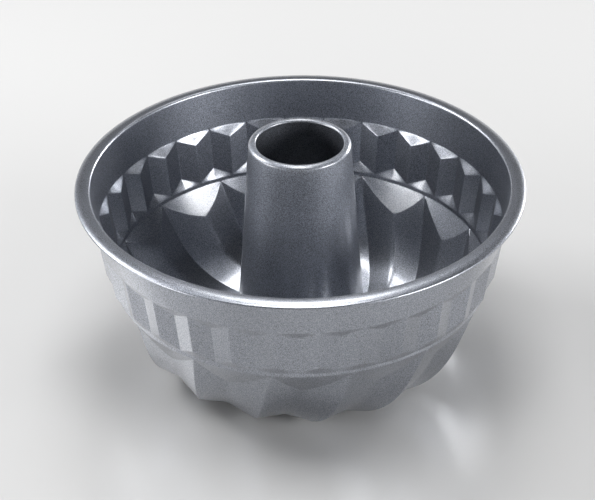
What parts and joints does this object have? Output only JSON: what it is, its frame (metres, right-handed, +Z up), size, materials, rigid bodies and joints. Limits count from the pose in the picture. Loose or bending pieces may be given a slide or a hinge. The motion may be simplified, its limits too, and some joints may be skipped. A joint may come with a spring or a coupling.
{
  "type": "fluted ring cake pan",
  "caption": "Round pressed-sheet ring cake pan with a flanged rim, folded flutes, a swirled base and a tapered centre tube.",
  "frame": {"origin": "on the pan's axis, at the surface that its feet stand on", "axes": "+Z up along the pan's axis, out of its mouth; +Y to the back and +X to the right as the picture shows it, with an inward flute fold on each of them"},
  "size_m": [0.22, 0.22, 0.121],
  "materials": {
    "shell_coating": "semi-gloss anthracite non-stick coat with a fine metallic speckle",
    "tube_coating": "semi-gloss anthracite non-stick coat with a fine metallic speckle"
  },
  "bodies": {
    "root": {"fluted_shell": "shell_coating", "centre_tube": "tube_coating"}
  },
  "joints": []
}
